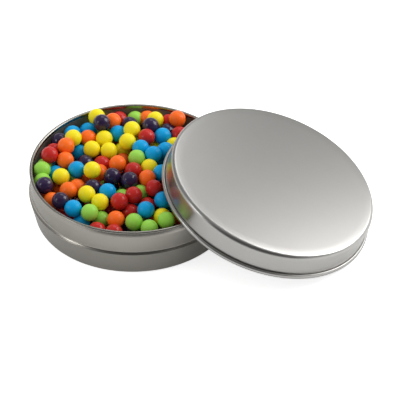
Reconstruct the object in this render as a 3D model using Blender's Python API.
"""A round slip-lid tin of candy balls, with its lid off and leaning on the rim.

The tin body and the lid are each one drawn sheet with a rolled edge, so both are turned from
one profile. The candies lie where the photograph shows them, as one heap in the tin.
Lengths are in metres, +Z is up, and the origin is the centre of the tin's base.
"""
import math

import bmesh
import bpy
import numpy as np
from mathutils import Matrix, Vector
from mathutils.geometry import delaunay_2d_cdt

# Sheet metal that both pieces are drawn from
SHEET = 0.00035

# Tin body
TIN_HEIGHT = 0.0310
RIM_RADIUS = 0.0597
RIM_ROLL = 0.00095          # radius of the rolled rim's round section
RIM_ROLL_ENDS = (-125, 180) # degrees round that section: at the neck, and inside the mouth
COVE_HEIGHT = 0.0036        # hollow under the roll, where the sheet steps out to the band
BAND_HEIGHT = 0.0083        # the band that the lid slides over
BAND_SET_IN = 0.0005        # the band's lower edge stands this far inside the rim
BAND_TAPER = 0.0002         # the band is this much smaller in radius at its top
BAND_CROWN = 0.00012        # outward bow of the band
STEP_HEIGHT = 0.0020        # hollow step out to the lower wall, where the lid's edge comes to rest
STEP_HOLLOW = 0.0004
LOWER_PROUD = 0.0007        # the lower wall's upper edge stands this far outside the rim
LOWER_TAPER = 0.0029
BASE_CORNER = 0.0015

# Lid
LID_HEIGHT = 0.0162
LID_CLEARANCE = 0.00025     # between the skirt and the rolled rim when the lid is on
LID_CORNER = 0.0024
LID_ROLL_WIDTH = 0.0017     # the flattened roll along the lid's edge
LID_ROLL_HEIGHT = 0.0029
LID_ROLL_START = 150        # degrees round the roll's section, where it leaves the skirt
LID_CREASE_HEIGHT = 0.0009  # shallow crease between the roll and the skirt
LID_CREASE_DEPTH = 0.00015

# How the lid leans: its edge stands on the table and crosses the tin's rim at two points
LEAN_OVERHANG = 0.0169      # how far the centre of the lid's edge lies outside the tin's rim, in plan
LEAN_AZIMUTH = math.radians(-11.8)
STEEPEST_LEAN = math.radians(50)
LEAN_STEP = math.radians(0.5)
LEAN_HALVINGS = 24
LEAN_TURNS = 720            # places round the lid at which its distance to the rim is measured
REST_GAP = 0.0003

# Candies
CANDY_RADIUS = 0.0050
CANDY_GAP = 0.0003          # between the candies and the sheet metal
HEAP_SHORTFALL = 0.0005     # the candies along the wall top out this far under the rim
HEAP_DOME = 0.0030          # extra height in the middle of the heap
CANDY_SINK = 0.0045         # how much lower the half hidden candies lie
CANDY_RISE = 0.0035         # how much higher a candy lies that rests on top of others
CANDY_PLAY = 0.0002         # that each candy is smaller in radius than the room it takes
LOWEST_SHARE = 1.4          # of a candy's radius, below the heap's surface
HIGHEST_SHARE = 0.9
BED_DROP_SHARE = 0.4        # of a candy's radius, from each candy's centre down to the bed
BED_FOOT_IN = 0.0025        # the bed's foot stands this far in, clear of the tin's base corner
BURIED_SHARE = 0.9          # a candy this many radii under the heap's surface only shapes the bed
WIDE_SHARE = 0.6            # of the spacing squared: the bed sinks between candies this far apart
PIT_DEPTH_SHARE = 0.8       # of a candy's radius

# The photograph's line of sight, which places the candies
VIEW_ELEVATION = math.radians(39.0)
VIEW_DISTANCE = 1.63
VIEW_TARGET_X = 0.03795     # point of the table that the picture's centre shows
VIEW_TARGET_Y = 0.0077
PIXEL_SIZE = 0.000581       # what one pixel spans at that point
CENTRE_PIXEL = (200, 200)

# Pixel places of the candies' centres in the photograph
TOP_PIXELS = {
    "yellow": ((96.5, 117.2), (154.8, 120.3), (72.5, 138.4), (104, 139), (127.7, 141.8), (131.4, 129.8),
               (91.9, 149.2), (108.6, 151), (149.4, 167.3), (92.2, 170.1), (61, 176.7),
               (86.8, 194.1), (100, 202.1), (162.3, 216.8)),
    "orange": ((113.2, 121.6), (145.1, 118.9), (175.9, 119.7), (88.4, 138.2), (65.6, 146.4),
               (64.7, 160), (117.7, 163.8), (147.4, 178.6), (68.3, 190.4), (51.7, 200.6),
               (115.8, 219.4)),
    "red": ((54.7, 151), (49.5, 156.3), (133.6, 170.7), (146.7, 137), (153.7, 188.3), (133.6, 195.3),
            (119.4, 201.4), (178.6, 135), (96.9, 230.5), (113.8, 232.7)),
    "green": ((137.5, 119.3), (137.1, 158.1), (42.7, 171.6), (42.7, 180), (89.7, 212.7),
              (134, 221.9), (149.4, 228.2), (166.3, 220.3)),
    "blue": ((88.5, 130.6), (72.8, 133.8), (118.2, 133.3), (162.7, 136.7), (140.7, 148.1),
             (153.5, 154.8), (165.1, 150.8), (76.6, 169.7), (107.7, 192), (73.2, 208.7), (161, 173),
             (145.9, 209.9), (162.9, 200.2)),
    "purple": ((129.5, 125), (150.9, 125.8), (112.3, 176.3), (130, 180.4), (44.4, 185.2),
               (60.4, 200.7), (92.6, 187.8)),
}
RAISED_PIXELS = {
    "purple": ((101.9, 122.7),),
}
SUNK_PIXELS = {
    "yellow": ((122.3, 150.8), (156.8, 149.6), (173.7, 145.3)),
    "orange": ((99.5, 172.5), (77.1, 187.5)),
    "red": ((117.8, 121), (101.8, 163.9), (147.6, 205.7), (130.4, 212), (168.6, 123)),
    "green": ((112, 127), (140.5, 192.5), (101, 219.6), (122.4, 197.5), (44.4, 166.2)),
    "blue": ((79.4, 153), (54.7, 173.1), (162, 130), (162, 160), (81, 223)),
    "purple": ((59.9, 141.3), (85.1, 163.3), (168, 131)),
}
SEAT_STEPS = 6
SETTLE_STEPS = 400
SIDE_SHARE = 0.2            # how freely a photographed candy may leave its line of sight
SIGHT_SHARE = 0.85          # of that sideways shift, what is left after each step
RETURN_SHARE = 0.02         # how much of its distance to the heap's surface a candy makes up
NEAR_SHARE = 0.86           # of the spacing: a free place closer than this is already taken

# Facets
SEGMENTS = 36
BED_SEGMENTS = 24
ARC_STEPS = 4
BAND_STEPS = 3
ROLL_STEPS = 8
BALL_STEPS = 2
SHARP_ANGLE = math.radians(40)

COLOURS = {
    "yellow": (0.85, 0.68, 0.02),
    "orange": (0.85, 0.22, 0.02),
    "red": (0.55, 0.02, 0.03),
    "green": (0.25, 0.55, 0.08),
    "blue": (0.01, 0.28, 0.62),
    "purple": (0.06, 0.03, 0.12),
}

NECK_OUTER = RIM_RADIUS - 2 * RIM_ROLL + SHEET
NECK_HEIGHT = TIN_HEIGHT - 2 * RIM_ROLL
BAND_TOP = NECK_HEIGHT - COVE_HEIGHT
STEP_TOP = BAND_TOP - BAND_HEIGHT
STEP_BOTTOM = STEP_TOP - STEP_HEIGHT
BAND_RADIUS = RIM_RADIUS - BAND_SET_IN
LOWER_RADIUS = RIM_RADIUS + LOWER_PROUD
BASE_RADIUS = LOWER_RADIUS - LOWER_TAPER
SKIRT_INNER = RIM_RADIUS + LID_CLEARANCE
SKIRT_OUTER = SKIRT_INNER + SHEET
LEAN_OFFSET = RIM_RADIUS + LEAN_OVERHANG
MOUTH_RADIUS = RIM_RADIUS - 2 * RIM_ROLL
CANDY_SPACING = 2 * CANDY_RADIUS
HEAP_REACH = MOUTH_RADIUS - CANDY_RADIUS - CANDY_GAP


def clear_scene():
    """Take every object out of the scene."""
    for thing in list(bpy.data.objects):
        bpy.data.objects.remove(thing, do_unlink=True)


def material(name, colour, roughness, metallic=0.0):
    """A plain Principled material."""
    made = bpy.data.materials.new(name)
    made.use_nodes = True
    shader = made.node_tree.nodes["Principled BSDF"]
    shader.inputs["Base Color"].default_value = (*colour, 1)
    shader.inputs["Roughness"].default_value = roughness
    shader.inputs["Metallic"].default_value = metallic
    return made


def arc(centre, radii, start, end, steps):
    """Points (r, z) along an elliptic arc, from angle start to angle end in degrees."""
    angles = [math.radians(start + (end - start) * i / steps) for i in range(steps + 1)]
    return [(centre[0] + radii[0] * math.cos(a), centre[1] + radii[1] * math.sin(a)) for a in angles]


def between(first, last, steps, bow=lambda share: 0):
    """Points from first to last, both left out, each moved outward by bow(share)."""
    shares = [i / steps for i in range(1, steps)]
    return [(first[0] + (last[0] - first[0]) * s + bow(s), first[1] + (last[1] - first[1]) * s)
            for s in shares]


def offset(points, distance):
    """The same line moved to its left, as seen going from the first point to the last."""
    moved = []
    for i, (r, z) in enumerate(points):
        before = points[max(i - 1, 0)]
        after = points[min(i + 1, len(points) - 1)]
        along = Vector((after[0] - before[0], after[1] - before[1])).normalized()
        moved.append((r - along.y * distance, z + along.x * distance))
    return moved


def finished(name, shape, looks):
    """An object made of a finished shape, shaded smooth."""
    mesh = bpy.data.meshes.new(name)
    shape.to_mesh(mesh)
    shape.free()
    for look in looks:
        mesh.materials.append(look)
    mesh.shade_smooth()
    mesh.set_sharp_from_angle(angle=SHARP_ANGLE)
    made = bpy.data.objects.new(name, mesh)
    bpy.context.collection.objects.link(made)
    return made


def turned(name, profile, segments, look):
    """A closed solid turned about Z from a profile that starts and ends on the axis."""
    shape = bmesh.new()
    corners = [shape.verts.new((r, 0, z)) for r, z in profile]
    edges = [shape.edges.new(pair) for pair in zip(corners, corners[1:])]
    bmesh.ops.spin(shape, geom=corners + edges, cent=(0, 0, 0), axis=(0, 0, 1),
                   angle=math.tau, steps=segments, use_merge=True)
    bmesh.ops.remove_doubles(shape, verts=shape.verts, dist=SHEET / segments)
    bmesh.ops.recalc_face_normals(shape, faces=shape.faces)
    return finished(name, shape, [look])


def tin_wall():
    """The sheet's outer face from the base corner up to the neck under the rolled rim."""
    corner = arc((BASE_RADIUS - BASE_CORNER, BASE_CORNER), (BASE_CORNER, BASE_CORNER), -90, 0, ARC_STEPS)
    step_ends = (LOWER_RADIUS, STEP_BOTTOM), (BAND_RADIUS, STEP_TOP)
    step = between(*step_ends, ARC_STEPS, lambda s: -STEP_HOLLOW * math.sin(math.pi * s))
    band_end = (BAND_RADIUS - BAND_TAPER, BAND_TOP)
    band = between(step_ends[1], band_end, BAND_STEPS, lambda s: 4 * BAND_CROWN * s * (1 - s))
    neck = (NECK_OUTER, NECK_HEIGHT)
    swing = band_end[0] - neck[0]
    cove = between(band_end, neck, ARC_STEPS,
                   lambda s: swing * ((1 + math.cos(math.pi * s)) / 2 - (1 - s)))
    return [*corner, step_ends[0], *step, step_ends[1], *band, band_end, *cove, neck]


def tin_profile():
    """The tin body's whole section: base, beaded wall and rolled rim, then back down inside."""
    outer = tin_wall()
    inner = offset(outer, SHEET)
    roll_centre = (RIM_RADIUS - RIM_ROLL, TIN_HEIGHT - RIM_ROLL)
    roll = arc(roll_centre, (RIM_ROLL, RIM_ROLL), *RIM_ROLL_ENDS, ROLL_STEPS)
    return [(0, 0), *outer, *roll, *inner[::-1], (0, SHEET)]


def lid_profile():
    """The lid's section, from the top's centre out, down the skirt, round the roll and back."""
    top = LID_HEIGHT
    corner_centre = (SKIRT_OUTER - LID_CORNER, top - LID_CORNER)
    outer_corner = arc(corner_centre, (LID_CORNER, LID_CORNER), 90, 0, ARC_STEPS)
    inner_radius = LID_CORNER - SHEET
    inner_corner = arc(corner_centre, (inner_radius, inner_radius), 0, 90, ARC_STEPS - 1)
    crease_top = (SKIRT_OUTER, LID_ROLL_HEIGHT + LID_CREASE_HEIGHT)
    crease_foot = (SKIRT_OUTER, LID_ROLL_HEIGHT)
    crease = between(crease_top, crease_foot, 2, lambda s: -LID_CREASE_DEPTH)
    half_width = LID_ROLL_WIDTH / 2
    half_height = LID_ROLL_HEIGHT / 2
    roll_centre = (SKIRT_OUTER + half_width, half_height)
    roll = arc(roll_centre, (half_width, half_height), LID_ROLL_START, -90, ROLL_STEPS)
    inner_lip = arc(roll_centre, (half_width + SHEET, half_height), -90, -180, ARC_STEPS)
    return [(0, top), *outer_corner, crease_top, *crease, crease_foot, *roll, *inner_lip[1:],
            *inner_corner, (0, top - SHEET)]


def lean_matrix(profile):
    """Where the lid lies: its lowest edge on the table and its roll just over the tin's rim.

    The lean is taken from steep to flat until the lid's edge meets the rolled rim.
    """
    turns = [math.tau * i / LEAN_TURNS for i in range(LEAN_TURNS)]
    points = np.array([(r * math.cos(t), r * math.sin(t), z) for r, z in profile for t in turns])
    turn = np.array(Matrix.Rotation(LEAN_AZIMUTH, 3, "Z"))
    roll_height = TIN_HEIGHT - RIM_ROLL

    def placed(lean):
        tilt = np.array(Matrix.Rotation(lean, 3, "Y"))
        spot = points @ (turn @ tilt @ turn.T).T
        shift = np.array((LEAN_OFFSET * math.cos(LEAN_AZIMUTH), LEAN_OFFSET * math.sin(LEAN_AZIMUTH),
                          -spot[:, 2].min()))
        return spot + shift, shift

    def gap(lean):
        spot, _ = placed(lean)
        from_axis = np.hypot(spot[:, 0], spot[:, 1])
        from_roll = np.hypot(from_axis - (RIM_RADIUS - RIM_ROLL), spot[:, 2] - roll_height)
        return from_roll.min() - RIM_ROLL

    steep = STEEPEST_LEAN
    while gap(steep - LEAN_STEP) > REST_GAP and steep > LEAN_STEP:
        steep -= LEAN_STEP
    flat = steep - LEAN_STEP
    for _ in range(LEAN_HALVINGS):
        middle = (steep + flat) / 2
        if gap(middle) > REST_GAP:
            steep = middle
        else:
            flat = middle
    _, shift = placed(steep)
    turned_over = Matrix.Rotation(LEAN_AZIMUTH, 4, "Z") @ Matrix.Rotation(steep, 4, "Y")
    upright = Matrix.Rotation(-LEAN_AZIMUTH, 4, "Z")
    return Matrix.Translation(shift) @ turned_over @ upright


def heap_height(places):
    """Height of the top candies' centres over the given plan places."""
    edge = TIN_HEIGHT - HEAP_SHORTFALL - CANDY_RADIUS
    share = np.hypot(places[:, 0], places[:, 1]) / HEAP_REACH
    return edge + HEAP_DOME * (1 - np.clip(share, 0, 1) ** 2)


def sight_lines(pixels):
    """The camera's place, and the directions in which it sees the given pixels."""
    ahead = np.array((0, math.cos(VIEW_ELEVATION), -math.sin(VIEW_ELEVATION)))
    above = np.array((0, math.sin(VIEW_ELEVATION), math.cos(VIEW_ELEVATION)))
    target = np.array((VIEW_TARGET_X, VIEW_TARGET_Y, 0))
    eye = target - ahead * VIEW_DISTANCE
    across = (pixels - np.array(CENTRE_PIXEL)) * PIXEL_SIZE
    seen = target + across[:, :1] * np.array((1, 0, 0)) - across[:, 1:] * above
    sight = seen - eye
    return eye, sight / np.linalg.norm(sight, axis=1)[:, None]


def under_the_lid(places, lid_rest):
    """Lower the candies that would touch the lid's edge."""
    to_lid = np.array(lid_rest.inverted())
    in_lid = places @ to_lid[:3, :3].T + to_lid[:3, 3]
    from_axis = np.hypot(in_lid[:, 0], in_lid[:, 1])
    reach = CANDY_RADIUS + CANDY_GAP
    near = (from_axis > SKIRT_INNER - reach) & (from_axis < SKIRT_OUTER + LID_ROLL_WIDTH + reach)
    drop = np.where(near, np.clip(in_lid[:, 2] + reach, 0, None), 0)
    places[:, 2] -= drop / lid_rest[2][2]


def settle_candies(lid_rest):
    """Centres and colours of the heap's top candies, eased apart until none overlap.

    A photographed candy mostly moves along its line of sight, so it stays where the
    photograph shows it. Where the photograph shows none, as under the leaning lid, the free
    places of a close row pattern are filled.
    """
    names = []
    pixels = []
    rises = []
    for table, rise in ((TOP_PIXELS, 0), (RAISED_PIXELS, CANDY_RISE), (SUNK_PIXELS, -CANDY_SINK)):
        for name, spots in table.items():
            names += [name] * len(spots)
            pixels += spots
            rises += [rise] * len(spots)
    eye, sight = sight_lines(np.array(pixels, float))
    rises = np.array(rises)

    square = (sight[:, :2] ** 2).sum(axis=1)
    half = sight[:, :2] @ eye[:2]
    root = np.sqrt(np.clip(half ** 2 - square * (eye[:2] @ eye[:2] - HEAP_REACH ** 2), 0, None))
    front_wall = (-half - root) / square
    back_wall = (-half + root) / square

    def seen_places(depth):
        return eye + sight * depth[:, None]

    def kept_in(depth):
        """Depths along the lines of sight between the walls and near the heap's surface."""
        surface = heap_height(seen_places(depth)) + rises
        top = (surface + HIGHEST_SHARE * CANDY_RADIUS - eye[2]) / sight[:, 2]
        bottom = (surface - LOWEST_SHARE * CANDY_RADIUS - eye[2]) / sight[:, 2]
        return np.clip(np.clip(depth, top, bottom), front_wall, back_wall)

    depth = (front_wall + back_wall) / 2
    for _ in range(SEAT_STEPS):
        depth = (heap_height(seen_places(depth)) + rises - eye[2]) / sight[:, 2]
    depth = kept_in(depth)

    row_pitch = CANDY_SPACING * math.sqrt(3) / 2
    rows = int(HEAP_REACH / row_pitch) + 1
    grid = np.array([((column + (row % 2) / 2) * CANDY_SPACING, row * row_pitch, 0)
                     for row in range(-rows, rows + 1) for column in range(-rows, rows + 1)])
    grid[:, 2] = heap_height(grid)
    under_the_lid(grid, lid_rest)
    taken = np.linalg.norm(grid[:, None] - seen_places(depth)[None], axis=2).min(axis=1)
    inside = np.hypot(grid[:, 0], grid[:, 1]) < HEAP_REACH
    spare = grid[inside & (taken > NEAR_SHARE * CANDY_SPACING)]
    names += [list(COLOURS)[(i * 5 + i // 4) % len(COLOURS)] for i in range(len(spare))]

    aside = np.zeros((len(depth), 3))
    for _ in range(SETTLE_STEPS):
        places = np.concatenate((seen_places(depth) + aside, spare))
        apart = places[:, None] - places[None]
        distance = np.linalg.norm(apart, axis=2)
        np.fill_diagonal(distance, math.inf)
        lack = np.clip(CANDY_SPACING - distance, 0, None) / 2
        push = (apart * (lack / distance)[:, :, None]).sum(axis=1)
        seen_push = push[:len(depth)]
        along = (seen_push * sight).sum(axis=1)
        surface = heap_height(places[:len(depth)]) + rises
        climb = (surface - places[:len(depth), 2]) / sight[:, 2]
        depth = kept_in(depth + along + climb * RETURN_SHARE)
        aside = (aside + (seen_push - sight * along[:, None]) * SIDE_SHARE) * SIGHT_SHARE
        spare = spare + push[len(depth):]
        spare[:, 2] += (heap_height(spare) - spare[:, 2]) * RETURN_SHARE
        under_the_lid(spare, lid_rest)
        spare[:, :2] *= np.minimum(1, HEAP_REACH / np.hypot(spare[:, 0], spare[:, 1]))[:, None]

    places = np.concatenate((seen_places(depth) + aside, spare))
    places[:, :2] *= np.minimum(1, HEAP_REACH / np.hypot(places[:, 0], places[:, 1]))[:, None]
    under_the_lid(places, lid_rest)
    return places, names


def make_bed(places, dark):
    """The closed bed under the top candies, which holds every one of them just below its middle."""
    floor = SHEET + REST_GAP
    bed_radius = min(BASE_RADIUS, MOUTH_RADIUS) - SHEET - REST_GAP
    angles = [math.tau * i / BED_SEGMENTS for i in range(BED_SEGMENTS)]
    edge = np.array([(bed_radius * math.cos(a), bed_radius * math.sin(a), 0) for a in angles])
    edge[:, 2] = heap_height(edge)
    held = np.concatenate((edge, places))
    held[:, 2] = np.maximum(held[:, 2] - BED_DROP_SHARE * CANDY_RADIUS, floor + BED_FOOT_IN)

    plan = [Vector(place[:2]) for place in held]
    _, _, triangles, origins, _, _ = delaunay_2d_cdt(plan, [], [], 0, REST_GAP)
    shape = bmesh.new()
    corners = [shape.verts.new(held[origin[0]]) for origin in origins]
    for triangle in triangles:
        shape.faces.new([corners[i] for i in triangle])
    wide = [face for face in shape.faces if face.calc_area() > WIDE_SHARE * CANDY_SPACING ** 2]
    bmesh.ops.poke(shape, faces=wide, offset=-PIT_DEPTH_SHARE * CANDY_RADIUS)
    around = [edge for edge in shape.edges if edge.is_boundary]
    foot = bmesh.ops.extrude_edge_only(shape, edges=around)["geom"]
    for vertex in [part for part in foot if isinstance(part, bmesh.types.BMVert)]:
        vertex.co *= (bed_radius - BED_FOOT_IN) / bed_radius
        vertex.co.z = floor
    low_edges = [part for part in foot if isinstance(part, bmesh.types.BMEdge) and part.is_boundary]
    bmesh.ops.holes_fill(shape, edges=low_edges, sides=0)
    bmesh.ops.recalc_face_normals(shape, faces=shape.faces)
    return finished("candies", shape, [dark])


def make_candies(dark, lid_rest):
    """One heap: round balls standing out of a bed that stands for the candies below them."""
    places, names = settle_candies(lid_rest)
    looks = [material(f"candy_{name}", colour, 0.25) for name, colour in COLOURS.items()]
    shape = bmesh.new()
    standing = places[:, 2] > heap_height(places) - BURIED_SHARE * CANDY_RADIUS
    for place, name in [pair for pair, shown in zip(zip(places, names), standing) if shown]:
        ball = bmesh.ops.create_icosphere(shape, subdivisions=BALL_STEPS, radius=CANDY_RADIUS - CANDY_PLAY,
                                          matrix=Matrix.Translation(place))
        for face in {face for vertex in ball["verts"] for face in vertex.link_faces}:
            face.material_index = list(COLOURS).index(name)
    balls = finished("candy_balls", shape, looks)
    balls.hide_render = True
    balls.display_type = "WIRE"

    heap = make_bed(places, dark)
    joined = heap.modifiers.new("balls", "BOOLEAN")
    joined.operation = "UNION"
    joined.solver = "EXACT"
    joined.use_self = True
    joined.material_mode = "TRANSFER"
    joined.object = balls
    return heap


def main():
    clear_scene()
    tin_steel = material("tin_steel", (0.55, 0.54, 0.51), 0.32, 1.0)
    lid_steel = material("lid_steel", (0.62, 0.62, 0.60), 0.30, 1.0)
    shade = material("candy_shade", (0.05, 0.04, 0.04), 0.6)
    turned("tin_body", tin_profile(), SEGMENTS, tin_steel)
    lid = turned("lid", lid_profile(), SEGMENTS, lid_steel)
    lid_rest = lean_matrix(lid_profile())
    lid.matrix_world = lid_rest
    make_candies(shade, lid_rest)


main()
